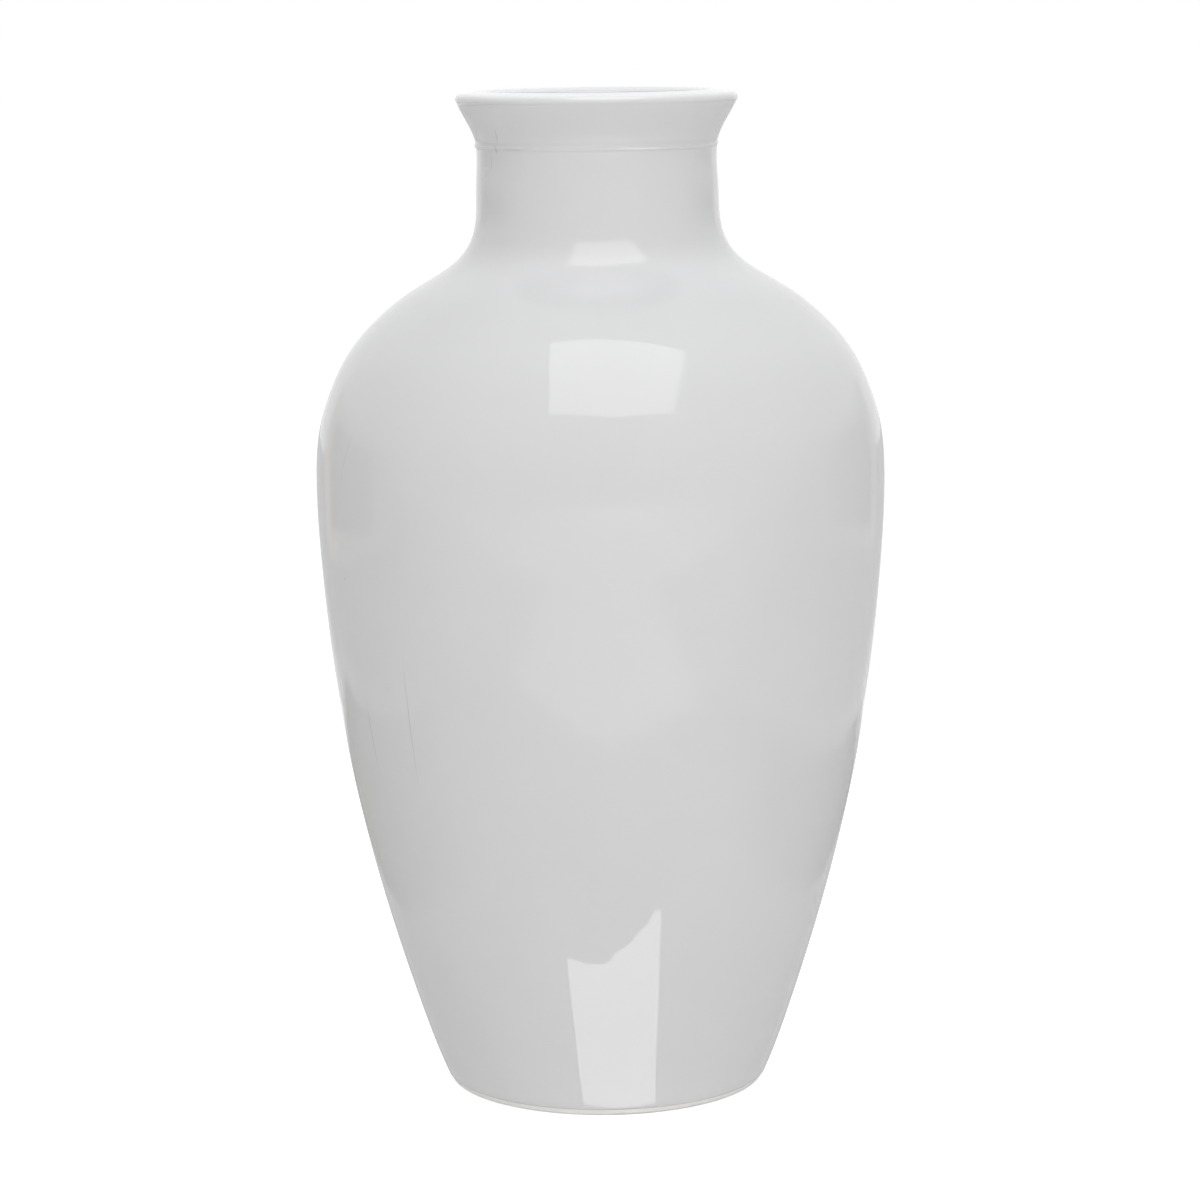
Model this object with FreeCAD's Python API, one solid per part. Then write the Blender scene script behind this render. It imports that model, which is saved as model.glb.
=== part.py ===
import FreeCAD, Part
import math
import os

# White porcelain vase in the meiping and baluster tradition: a small foot, a high round shoulder, a short neck
# and an everted lip. It is thrown in five sections that are luted together with slip, then glazed all over
# except for the rim that it stands on. Lengths are in millimetres, +Z is up along the axis of the vase, and
# the foot stands on z = 0. Profiles lie in the XZ plane, with X as the radius.

# Radii of the outer form, measured on the glaze
foot_radius = 60.8
belly_radius = 108.0

# Radius of the root of the neck, how much narrower the neck's waist and its narrowest place are, how far the lip
# spreads past the root, and the wall of the neck at its root with its glaze
root_radius = 47.5
waist_draw = 1.8
narrow_draw = 2.2
lip_spread = 5.6
root_wall = 7.1

# Rises: floor to belly, belly to the root of the neck, root to the neck's waist, waist to its narrowest place,
# and narrowest place to the crest of the lip
belly_rise = 234.0
shoulder_rise = 92.0
neck_rise = 18.0
narrow_rise = 13.5
lip_rise = 22.5

# Slopes of the outline, in degrees from the vertical, and of the lip's top from the horizontal
foot_taper = 24.5
flare_taper = 24.0
lip_slope = 6.0

# Lip
lip_nose = 2.6
lip_corner = 0.9
crest_round = 4.0

# Walls and glaze
glaze = 0.4
body_wall = 5.0
foot_wall = 6.5
throat_length = 38.0

# Foot ring, the recess inside it and the floor of the vase
foot_round = 1.6
rim_width = 6.0
rim_inner_round = 1.2
recess_depth = 6.0
recess_round = 3.0
floor_thickness = 8.0
floor_round = 12.0
bare_height = 2.0

# Stepped seams between the sections
base_seam_height = 24.0
body_seam_height = 160.0
slip_thickness = 0.8
seam_step = 2.0

# Raised line of slip under the glaze, where the mouth joins the neck, just over the narrowest place
ridge_lift = 2.0
ridge_relief = 0.35
ridge_width = 1.8

# Overrun of the cutting solids past the surfaces that they cut
overrun = 10.0

# Outline between the foot and the belly: share of the rise, then share of the swell
body_shares = [(0.125, 0.234), (0.36, 0.577), (0.61, 0.834), (0.85, 0.968)]

# Outline between the belly and the root of the neck: share of the rise, then share of the narrowing
shoulder_shares = [(0.222, 0.027), (0.378, 0.098), (0.522, 0.207), (0.656, 0.379), (0.767, 0.587),
                   (0.856, 0.809), (0.922, 0.931)]

# Outline between the narrowest place and the lip: share of the rise, then share of the widening
flare_shares = [(0.30, 0.13), (0.59, 0.465)]

quarter_turn = 90.0
half_turn = 2 * quarter_turn
whole_turn = 2 * half_turn
axis = FreeCAD.Vector(0, 0, 1)
origin = FreeCAD.Vector(0, 0, 0)
reach = belly_radius + overrun

# Radii of the neck's waist and narrowest place, of the lip and of the throat
neck_radius = root_radius - waist_draw
narrow_radius = root_radius - narrow_draw
mouth_radius = root_radius + lip_spread
throat_radius = root_radius - root_wall

# Heights over the floor
root_height = belly_rise + shoulder_rise
neck_height = root_height + neck_rise
narrow_height = neck_height + narrow_rise
ridge_height = narrow_height + ridge_lift
vase_height = narrow_height + lip_rise


def at(radius, height):
    """Point of the profile plane."""
    return FreeCAD.Vector(radius, 0, height)


def ray(degrees):
    """Unit vector of the profile plane, from the outward horizontal up."""
    angle = math.radians(degrees)
    return FreeCAD.Vector(math.cos(angle), 0, math.sin(angle))


def line(start, end):
    return Part.LineSegment(start, end).toShape()


def arc(centre, radius, first, last):
    """Arc about a centre, between two directions in degrees."""
    middle = (first + last) / 2
    points = [centre + ray(angle) * radius for angle in (first, middle, last)]
    return Part.Arc(*points).toShape()


def smooth(points, first_direction, last_direction):
    """Curve through points that leaves and arrives in given directions."""
    curve = Part.BSplineCurve()
    curve.interpolate(Points=points, InitialTangent=first_direction, FinalTangent=last_direction, Scale=False)
    return curve


def spans(curve):
    """Edges of a curve, one between each two of its points, so that each turned face is a plain one."""
    return [span.toShape() for span in curve.toBezier()]


def turned(edges):
    """Solid of revolution of a closed profile about the axis of the vase."""
    wire = Part.Wire(Part.__sortEdges__(edges))
    return Part.Face(wire).revolve(origin, axis, whole_turn)


# Centres of the round corners. The foot's corner touches the floor and the tapered wall.
foot_reach = foot_round + glaze
foot_lean = math.radians(foot_taper)
foot_centre = at(foot_radius + (math.sin(foot_lean) * foot_round - foot_reach) / math.cos(foot_lean), foot_round)

# The lip's top is one straight slope that touches the crest's round and the nose's round.
top_normal = quarter_turn - lip_slope
crest_centre = at(throat_radius + crest_round, vase_height - crest_round)
nose_reach = mouth_radius - lip_nose
nose_run = (nose_reach - crest_centre.x) * ray(top_normal).x
nose_drop = (lip_nose - crest_round + nose_run) / ray(top_normal).z
nose_centre = at(nose_reach, crest_centre.z - nose_drop)
corner_centre = at(mouth_radius - lip_corner, nose_centre.z)


def stations():
    """Points of the outer outline between the foot's corner and the lip's corner."""
    swell = belly_radius - foot_radius
    points = [at(foot_radius + widen * swell, climb * belly_rise) for climb, widen in body_shares]
    points.append(at(belly_radius, belly_rise))
    narrowing = belly_radius - root_radius
    for climb, narrow in shoulder_shares:
        points.append(at(belly_radius - narrow * narrowing, belly_rise + climb * shoulder_rise))
    points += [at(root_radius, root_height), at(neck_radius, neck_height), at(narrow_radius, narrow_height)]
    lip_point = corner_centre + ray(-flare_taper) * lip_corner
    flare_rise = lip_point.z - narrow_height
    flare_width = lip_point.x - narrow_radius
    for climb, widen in flare_shares:
        points.append(at(narrow_radius + widen * flare_width, narrow_height + climb * flare_rise))
    return points


def outline_ends(depth):
    """First and last point of the outer outline, sunk under the glaze's surface by a depth."""
    first = foot_centre + ray(-foot_taper) * (foot_reach - depth)
    last = corner_centre + ray(-flare_taper) * (lip_corner - depth)
    return first, last


foot_direction = ray(quarter_turn - foot_taper)
flare_direction = ray(quarter_turn - flare_taper)
outline_stations = stations()
first_point, last_point = outline_ends(0)
outline = smooth([first_point] + outline_stations + [last_point], foot_direction, flare_direction)


def sunk(point, depth):
    """A point of the outline, moved into the wall by a depth."""
    tangent = outline.tangent(outline.parameter(point))[0]
    inward = at(-tangent.z, tangent.x)
    return point + inward * depth


def wall_at(height):
    """Thickness of the clay wall, which grows from the belly down to the foot."""
    share_below = max(0, 1 - height / belly_rise)
    return body_wall + (foot_wall - body_wall) * share_below


def outer_edges(depth):
    """Edges of the outer surface from the foot's corner to the crest of the lip."""
    first, last = outline_ends(depth)
    points = [first] + [sunk(point, depth) for point in outline_stations] + [last]
    wall = spans(smooth(points, foot_direction, flare_direction))
    corner = arc(corner_centre, lip_corner - depth, -flare_taper, 0)
    nose = arc(nose_centre, lip_nose - depth, 0, top_normal)
    top = line(nose_centre + ray(top_normal) * (lip_nose - depth), crest_centre + ray(top_normal) * (crest_round - depth))
    crest = arc(crest_centre, crest_round - depth, top_normal, quarter_turn)
    return wall + [corner, nose, top, crest]


def inner_edges(depth):
    """Edges of the inner surface from the crest down to the middle of the floor. At depth 0 they bound the
    bare clay, and at the glaze's thickness they are the surface of the glaze that lines it."""
    crest = arc(crest_centre, crest_round - glaze + depth, quarter_turn, half_turn)
    throat = throat_radius + glaze - depth
    throat_foot = at(throat, crest_centre.z - throat_length)
    throat_wall = line(at(throat, crest_centre.z), throat_foot)
    floor_height = recess_depth + floor_thickness + depth
    corner_round = floor_round + glaze - depth
    corner_height = floor_height + corner_round
    wall_depth = glaze + wall_at(0) + depth
    side = foot_centre.dot(ray(-foot_taper)) + foot_reach - wall_depth - corner_round
    corner_at = at((side + math.sin(foot_lean) * corner_height) / math.cos(foot_lean), corner_height)
    corner = arc(corner_at, corner_round, -foot_taper, -quarter_turn)
    below_neck = [point for point in reversed(outline_stations) if point.z <= root_height]
    points = [sunk(point, glaze + wall_at(point.z) + depth) for point in below_neck]
    points = [throat_foot] + points + [corner_at + ray(-foot_taper) * corner_round]
    wall = spans(smooth(points, -axis, -foot_direction))
    floor = line(at(corner_at.x, floor_height), at(0, floor_height))
    return [crest, throat_wall] + wall + [corner, floor], floor_height


# Underside: the foot's rim is flat, and the recess inside it is a shallow cylinder with a round corner.
recess_radius = foot_centre.x - rim_width
rim_inner_radius = recess_radius - rim_inner_round


def recess_edges(depth):
    """Edges of the recess, from its middle to its straight side."""
    ceiling_height = recess_depth - depth
    side_radius = rim_inner_radius - depth
    corner_centre_at = at(rim_inner_radius - recess_round, recess_depth - recess_round)
    ceiling = line(at(0, ceiling_height), at(corner_centre_at.x, ceiling_height))
    corner = arc(corner_centre_at, recess_round - depth, quarter_turn, 0)
    return ceiling, corner, at(side_radius, corner_centre_at.z)


def clay_body():
    """The whole clay wall, before it is parted at the seams."""
    ceiling, corner, side_top = recess_edges(0)
    side = line(side_top, at(rim_inner_radius, rim_inner_round))
    inner_corner = arc(at(recess_radius, rim_inner_round), rim_inner_round, half_turn, half_turn + quarter_turn)
    rim = line(at(recess_radius, 0), at(foot_centre.x, 0))
    outer_corner = arc(foot_centre, foot_round, -quarter_turn, -foot_taper)
    inner, floor_height = inner_edges(0)
    middle = line(at(0, floor_height), at(0, recess_depth))
    underside = [ceiling, corner, side, inner_corner, rim, outer_corner]
    return turned(underside + outer_edges(glaze) + inner + [middle])


def on_outline(height):
    """Point of the outer outline at a height."""
    level = Part.Plane(at(0, height), axis)
    crossing = outline.intersectCS(level)[0][0]
    return at(crossing.X, crossing.Z)


def seam_points():
    """Heights of the seams, each with the radius of the step half way through the wall."""
    heights = (base_seam_height, body_seam_height, root_height, ridge_height - slip_thickness)
    return [(height, sunk(on_outline(height), glaze + wall_at(height) / 2).x) for height in heights]


def below(seam, gap):
    """Everything under a seam's stepped face, raised and widened by a gap for the slip."""
    height, step_radius = seam
    bottom = at(0, -overrun)
    wide = Part.makeCylinder(reach, height + gap + overrun, bottom)
    narrow = Part.makeCylinder(step_radius + gap, height + gap + seam_step + overrun, bottom)
    return wide.fuse(narrow)


def outer_glaze():
    """Glaze over the outside, from just above the foot's rim to the crest of the lip."""
    first, _ = outline_ends(0)
    first_sunk, _ = outline_ends(glaze)
    skirt = line(first, first_sunk)
    crest = line(at(crest_centre.x, vase_height), at(crest_centre.x, vase_height - glaze))
    skin = turned(outer_edges(0) + [crest] + outer_edges(glaze) + [skirt])
    bare = Part.makeCylinder(reach, bare_height + overrun, at(0, -overrun))
    return skin.cut(bare).fuse(ridge())


def ridge():
    """The raised line round the neck, rooted half way through the glaze."""
    middle = on_outline(ridge_height)
    root = middle.x - glaze / 2
    low = at(root, ridge_height - ridge_width / 2)
    high = at(root, ridge_height + ridge_width / 2)
    crown = Part.Arc(low, middle + at(ridge_relief, 0), high).toShape()
    return turned([crown, line(high, low)])


def inner_glaze():
    """Glaze that lines the inside, from the crest of the lip to the floor."""
    lining, lining_height = inner_edges(glaze)
    clay, clay_height = inner_edges(0)
    crest = line(at(crest_centre.x, vase_height), at(crest_centre.x, vase_height - glaze))
    middle = line(at(0, lining_height), at(0, clay_height))
    return turned(lining + clay + [crest, middle])


def foot_glaze():
    """Glaze in the recess under the foot, down to just above the rim."""
    ceiling, corner, side_top = recess_edges(0)
    low_ceiling, low_corner, low_side_top = recess_edges(glaze)
    side = line(side_top, at(side_top.x, bare_height))
    low_side = line(low_side_top, at(low_side_top.x, bare_height))
    edge = line(at(side_top.x, bare_height), at(low_side_top.x, bare_height))
    middle = line(at(0, recess_depth), at(0, recess_depth - glaze))
    return turned([ceiling, corner, side, edge, low_side, low_corner, low_ceiling, middle])


def sections_and_seams():
    """The clay wall parted at the stepped seams, and the rings of slip that join it."""
    section_names = ["base_section", "lower_body_section", "upper_body_section", "neck_section", "mouth_section"]
    seam_names = ["base_slip_seam", "body_slip_seam", "shoulder_slip_seam", "mouth_slip_seam"]
    pieces = {}
    rest = clay_body()
    for section_name, seam_name, seam in zip(section_names, seam_names, seam_points()):
        section_cell = below(seam, 0)
        seam_cell = below(seam, slip_thickness)
        pieces[section_name] = rest.common(section_cell)
        pieces[seam_name] = rest.common(seam_cell).cut(section_cell)
        rest = rest.cut(seam_cell)
    pieces[section_names[-1]] = rest
    return pieces


def main():
    os.makedirs("parts", exist_ok=True)
    pieces = sections_and_seams()
    pieces["outer_glaze"] = outer_glaze()
    pieces["inner_glaze"] = inner_glaze()
    pieces["foot_glaze"] = foot_glaze()
    for name, shape in pieces.items():
        shape.exportStep("parts/" + name + ".step")
        box = shape.BoundBox
        print(name, len(shape.Solids), shape.isValid(), round(shape.Volume), round(box.ZMin, 2), round(box.ZMax, 2))


main()
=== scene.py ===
"""White glazed porcelain vase: its glaze, its clay and the studio that it stands in.

Lengths are in metres, +Z is up along the axis of the vase, and its foot stands on z = 0. A profile is a list
of points (radius, height) that is turned about that axis.
"""

import logging
import math
from collections.abc import Iterable
from dataclasses import dataclass
from enum import Enum

import bpy
import numpy as np
from mathutils import Euler, Matrix, Vector

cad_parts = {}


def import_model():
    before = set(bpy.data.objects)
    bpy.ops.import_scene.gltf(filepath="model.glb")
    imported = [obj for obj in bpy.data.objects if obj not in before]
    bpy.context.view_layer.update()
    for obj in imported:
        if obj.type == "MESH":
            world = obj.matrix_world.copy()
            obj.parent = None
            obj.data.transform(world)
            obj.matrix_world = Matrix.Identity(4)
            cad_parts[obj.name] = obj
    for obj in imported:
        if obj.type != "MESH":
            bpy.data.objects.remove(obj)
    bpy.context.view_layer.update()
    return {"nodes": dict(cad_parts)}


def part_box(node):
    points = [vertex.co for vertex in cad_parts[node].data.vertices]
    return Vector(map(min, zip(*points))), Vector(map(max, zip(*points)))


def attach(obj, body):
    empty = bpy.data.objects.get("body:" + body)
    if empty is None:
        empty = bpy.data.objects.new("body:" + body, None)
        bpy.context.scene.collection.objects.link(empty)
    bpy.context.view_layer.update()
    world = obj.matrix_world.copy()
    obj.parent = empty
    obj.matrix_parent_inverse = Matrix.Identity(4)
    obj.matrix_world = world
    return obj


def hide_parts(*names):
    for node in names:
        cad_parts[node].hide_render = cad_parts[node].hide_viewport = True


log = logging.getLogger("vase")
MM = 0.001
Point = tuple[float, float]
Place = tuple[float, float, float]
Colour = tuple[float, float, float, float]
Band = tuple[float, float, float, float]
Inputs = dict[str | int, object]
Socket = bpy.types.NodeSocket
WHITE: Colour = (1, 1, 1, 1)


def unit(degrees: float) -> np.ndarray:
    """Unit vector of the profile plane, from the outward horizontal up."""
    return np.array([math.cos(math.radians(degrees)), math.sin(math.radians(degrees))])


def smooth_step(value: np.ndarray, low: float, high: float) -> np.ndarray:
    """Share from 0 at low to 1 at high, with soft ends."""
    share = np.clip((value - low) / (high - low), 0, 1)
    return share * share * (3 - 2 * share)


def plateau(value: np.ndarray, ends: Band) -> np.ndarray:
    """Share that rises from the first end to the second and falls from the third to the fourth."""
    return smooth_step(value, ends[0], ends[1]) * (1 - smooth_step(value, ends[2], ends[3]))


@dataclass
class Profile:
    """Points of a turned surface, each with the direction that leads out of the glaze there."""

    points: np.ndarray
    normals: np.ndarray

    def before(self, other: "Profile") -> "Profile":
        """This profile followed by another one."""
        return Profile(np.vstack([self.points, other.points]), np.vstack([self.normals, other.normals]))

    def joined(self, other: "Profile") -> "Profile":
        """This profile followed by another one, without the point that they share."""
        return self.before(Profile(other.points[1:], other.normals[1:]))

    def sunk(self, depth: float) -> "Profile":
        """The same profile, moved in by a depth."""
        return Profile(self.points - self.normals * depth, self.normals)

    def thinned(self, step: int) -> "Profile":
        """Every so many points of the profile, with its last one."""
        kept = sorted(set(range(0, len(self.points), step)) | {len(self.points) - 1})
        return Profile(self.points[kept], self.normals[kept])

    def backward(self) -> "Profile":
        """The profile from its last point to its first."""
        return Profile(self.points[::-1], self.normals[::-1])


@dataclass
class ThrownCurve:
    """Smooth curve through the stations of a wall, as a potter's rib leaves it.

    Args:
        stations: points of the wall, from the foot up.
        first: direction in which the curve leaves the first station.
        last: direction in which it arrives at the last station.
    """

    stations: np.ndarray
    first: np.ndarray
    last: np.ndarray

    def slopes(self) -> tuple[np.ndarray, np.ndarray]:
        """Chord lengths between the stations, and the curve's slope at each station.

        Returns:
            The chord lengths and the slopes, which make the curve's bend continuous.
        """
        steps = np.diff(self.stations, axis=0)
        chords = np.linalg.norm(steps, axis=1)
        count = len(self.stations)
        system = np.eye(count)
        right = np.zeros((count, 2))
        right[0], right[-1] = self.first, self.last
        for i in range(1, count - 1):
            before, after = 1 / chords[i - 1], 1 / chords[i]
            system[i, i - 1:i + 2] = before, 2 * (before + after), after
            right[i] = 3 * (steps[i - 1] * before ** 2 + steps[i] * after ** 2)
        return chords, np.linalg.solve(system, right)

    def profile(self, spacing: float, side: float = 1.0, fine_above: float = math.inf) -> Profile:
        """Points along the curve, at nearly even distances.

        Args:
            spacing: distance between two points.
            fine_above: height over which the points lie five times as close.
            side: 1 where the open air is on the curve's right, and -1 where it is on its left.

        Returns:
            The curve's profile.
        """
        chords, slopes = self.slopes()
        points, tangents = [], []
        for i, chord in enumerate(chords):
            closer = 5 if self.stations[i][1] > fine_above else 1
            count = max(2, round(closer * chord / spacing))
            share = np.linspace(0, 1, count + 1)[1 if i else 0:, None]
            start, end = self.stations[i], self.stations[i + 1]
            leave, arrive = slopes[i] * chord, slopes[i + 1] * chord
            square, cube = share ** 2, share ** 3
            points.append(start * (2 * cube - 3 * square + 1) + leave * (cube - 2 * square + share)
                          + end * (3 * square - 2 * cube) + arrive * (cube - square))
            tangents.append((start - end) * (6 * square - 6 * share) + leave * (3 * square - 4 * share + 1)
                            + arrive * (3 * square - 2 * share))
        tangent = np.vstack(tangents)
        tangent /= np.linalg.norm(tangent, axis=1)[:, None]
        return Profile(np.vstack(points), side * np.column_stack([tangent[:, 1], -tangent[:, 0]]))


def bend(centre: np.ndarray, radius: float, first: float, last: float, count: int, side: float = 1.0) -> Profile:
    """Arc of a profile.

    Args:
        centre: centre of the arc.
        radius: its radius.
        first: direction of its first point, in degrees.
        last: direction of its last point, in degrees.
        count: number of steps along it.
        side: 1 where the open air is outside the arc, and -1 where it is inside.

    Returns:
        The arc's profile.
    """
    rays = np.array([unit(angle) for angle in np.linspace(first, last, count + 1)])
    return Profile(np.asarray(centre) + rays * radius, rays * side)


def run(start: np.ndarray, end: np.ndarray, normal: np.ndarray, count: int) -> Profile:
    """Straight stretch of a profile, in so many steps, with one direction of open air."""
    share = np.linspace(0, 1, count + 1)[:, None]
    return Profile(start + (np.asarray(end) - start) * share, np.tile(normal, (count + 1, 1)))


@dataclass
class VaseForm:
    """Sizes and profiles of the vase, the same as those of its solids."""

    foot_radius: float = 60.8 * MM
    belly_radius: float = 108.0 * MM
    root_radius: float = 47.5 * MM
    neck_radius: float = 45.7 * MM
    narrow_radius: float = 45.3 * MM
    mouth_radius: float = 53.1 * MM
    belly_height: float = 234.0 * MM
    root_height: float = 326.0 * MM
    neck_height: float = 344.0 * MM
    narrow_height: float = 357.5 * MM
    ridge_height: float = 359.5 * MM
    vase_height: float = 380.0 * MM
    foot_taper: float = 24.5
    flare_taper: float = 24.0
    lip_slope: float = 6.0
    lip_nose: float = 2.6 * MM
    lip_corner: float = 0.9 * MM
    crest_round: float = 4.0 * MM
    glaze: float = 0.4 * MM
    body_wall: float = 5.0 * MM
    foot_wall: float = 6.5 * MM
    throat_radius: float = 40.4 * MM
    throat_length: float = 38.0 * MM
    foot_round: float = 1.6 * MM
    rim_width: float = 6.0 * MM
    rim_inner_round: float = 1.2 * MM
    recess_depth: float = 6.0 * MM
    recess_round: float = 3.0 * MM
    floor_thickness: float = 8.0 * MM
    floor_round: float = 12.0 * MM
    bare_height: float = 2.0 * MM
    body_shares: tuple[Point, ...] = ((0.125, 0.234), (0.36, 0.577), (0.61, 0.834), (0.85, 0.968))
    shoulder_shares: tuple[Point, ...] = ((0.222, 0.027), (0.378, 0.098), (0.522, 0.207), (0.656, 0.379),
                                          (0.767, 0.587), (0.856, 0.809), (0.922, 0.931))
    flare_shares: tuple[Point, ...] = ((0.30, 0.13), (0.59, 0.465))
    spacing: float = 1.0 * MM

    def __post_init__(self) -> None:
        """Places the centres of the round corners at the foot and the lip."""
        lean = math.radians(self.foot_taper)
        self.foot_reach = self.foot_round + self.glaze
        drawn = (math.sin(lean) * self.foot_round - self.foot_reach) / math.cos(lean)
        self.foot_centre = np.array([self.foot_radius + drawn, self.foot_round])
        self.top_normal = 90 - self.lip_slope
        self.crest_centre = np.array([self.throat_radius, self.vase_height]) + (self.crest_round, -self.crest_round)
        nose_reach = self.mouth_radius - self.lip_nose
        up = unit(self.top_normal)
        nose_drop = (self.lip_nose - self.crest_round + (nose_reach - self.crest_centre[0]) * up[0]) / up[1]
        self.nose_centre = np.array([nose_reach, self.crest_centre[1] - nose_drop])
        self.corner_centre = np.array([self.mouth_radius - self.lip_corner, self.nose_centre[1]])
        self.recess_radius = self.foot_centre[0] - self.rim_width - self.rim_inner_round

    def wall_stations(self) -> list[np.ndarray]:
        """Points of the wall between the foot's corner and the lip's corner.

        Returns:
            The points, from the lowest up.
        """
        swell = self.belly_radius - self.foot_radius
        rise = self.root_height - self.belly_height
        narrowing = self.belly_radius - self.root_radius
        points = [(self.foot_radius + wide * swell, climb * self.belly_height) for climb, wide in self.body_shares]
        points.append((self.belly_radius, self.belly_height))
        points += [(self.belly_radius - narrow * narrowing, self.belly_height + climb * rise)
                   for climb, narrow in self.shoulder_shares]
        points += [(self.root_radius, self.root_height), (self.neck_radius, self.neck_height),
                   (self.narrow_radius, self.narrow_height)]
        low = np.array([self.narrow_radius, self.narrow_height])
        flare = self.corner_centre + unit(-self.flare_taper) * self.lip_corner - low
        points += [tuple(low + flare * (wide, climb)) for climb, wide in self.flare_shares]
        return [np.array(point) for point in points]

    def outside(self) -> Profile:
        """The outer surface, from the foot's corner to the crest of the lip.

        Returns:
            Its profile.
        """
        first = self.foot_centre + unit(-self.foot_taper) * self.foot_reach
        last = self.corner_centre + unit(-self.flare_taper) * self.lip_corner
        stations = np.array([first, *self.wall_stations(), last])
        curve = ThrownCurve(stations, unit(90 - self.foot_taper), unit(90 - self.flare_taper))
        wall = curve.profile(self.spacing, fine_above=self.narrow_height - 0.1 * MM)
        corner = bend(self.corner_centre, self.lip_corner, -self.flare_taper, 0, 6)
        nose = bend(self.nose_centre, self.lip_nose, 0, self.top_normal, 12)
        up = unit(self.top_normal)
        top = run(nose.points[-1], self.crest_centre + up * self.crest_round, up, 4)
        crest = bend(self.crest_centre, self.crest_round, self.top_normal, 90, 3)
        return wall.joined(corner).joined(nose).joined(top).joined(crest)

    def wall_at(self, height: float) -> float:
        """Thickness of the clay wall at a height."""
        return self.body_wall + (self.foot_wall - self.body_wall) * max(0.0, 1 - height / self.belly_height)

    def lining(self) -> Profile:
        """The glaze's surface inside the vase, from the crest of the lip down to the middle of the floor.

        Returns:
            Its profile.
        """
        crest = bend(self.crest_centre, self.crest_round, 90, 180, 16)
        throat_foot = crest.points[-1] - (0, self.throat_length)
        throat = run(crest.points[-1], throat_foot, unit(180), 38)
        floor_height = self.recess_depth + self.floor_thickness + self.glaze
        side = self.foot_centre @ unit(-self.foot_taper) + self.foot_reach
        side -= 2 * self.glaze + self.wall_at(0) + self.floor_round
        corner_height = floor_height + self.floor_round
        lean = math.radians(self.foot_taper)
        corner_centre = np.array([(side + math.sin(lean) * corner_height) / math.cos(lean), corner_height])
        outside = self.outside()
        stations = [throat_foot]
        for station in reversed(self.wall_stations()):
            if station[1] <= self.root_height + 1e-6:
                nearest = int(np.argmin(np.linalg.norm(outside.points - station, axis=1)))
                stations.append(station - outside.normals[nearest] * (2 * self.glaze + self.wall_at(station[1])))
        stations.append(corner_centre + unit(-self.foot_taper) * self.floor_round)
        curve = ThrownCurve(np.array(stations), unit(-90), -unit(90 - self.foot_taper))
        wall = curve.profile(2 * self.spacing)
        corner = bend(corner_centre, self.floor_round, -self.foot_taper, -90, 16, side=-1)
        floor = run(corner.points[-1], np.array([0, floor_height]), unit(90), 10)
        return crest.joined(throat).joined(wall).joined(corner).joined(floor)

    def recess(self) -> Profile:
        """The clay's surface in the recess under the foot, from its middle to the glaze's lower edge.

        Returns:
            Its profile.
        """
        centre = np.array([self.recess_radius, self.recess_depth]) - self.recess_round
        ceiling = run(np.array([0, self.recess_depth]), np.array([centre[0], self.recess_depth]), unit(-90), 16)
        corner = bend(centre, self.recess_round, 90, 0, 12, side=-1)
        side = run(corner.points[-1], np.array([self.recess_radius, self.bare_height]), unit(180), 4)
        return ceiling.joined(corner).joined(side)


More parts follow.
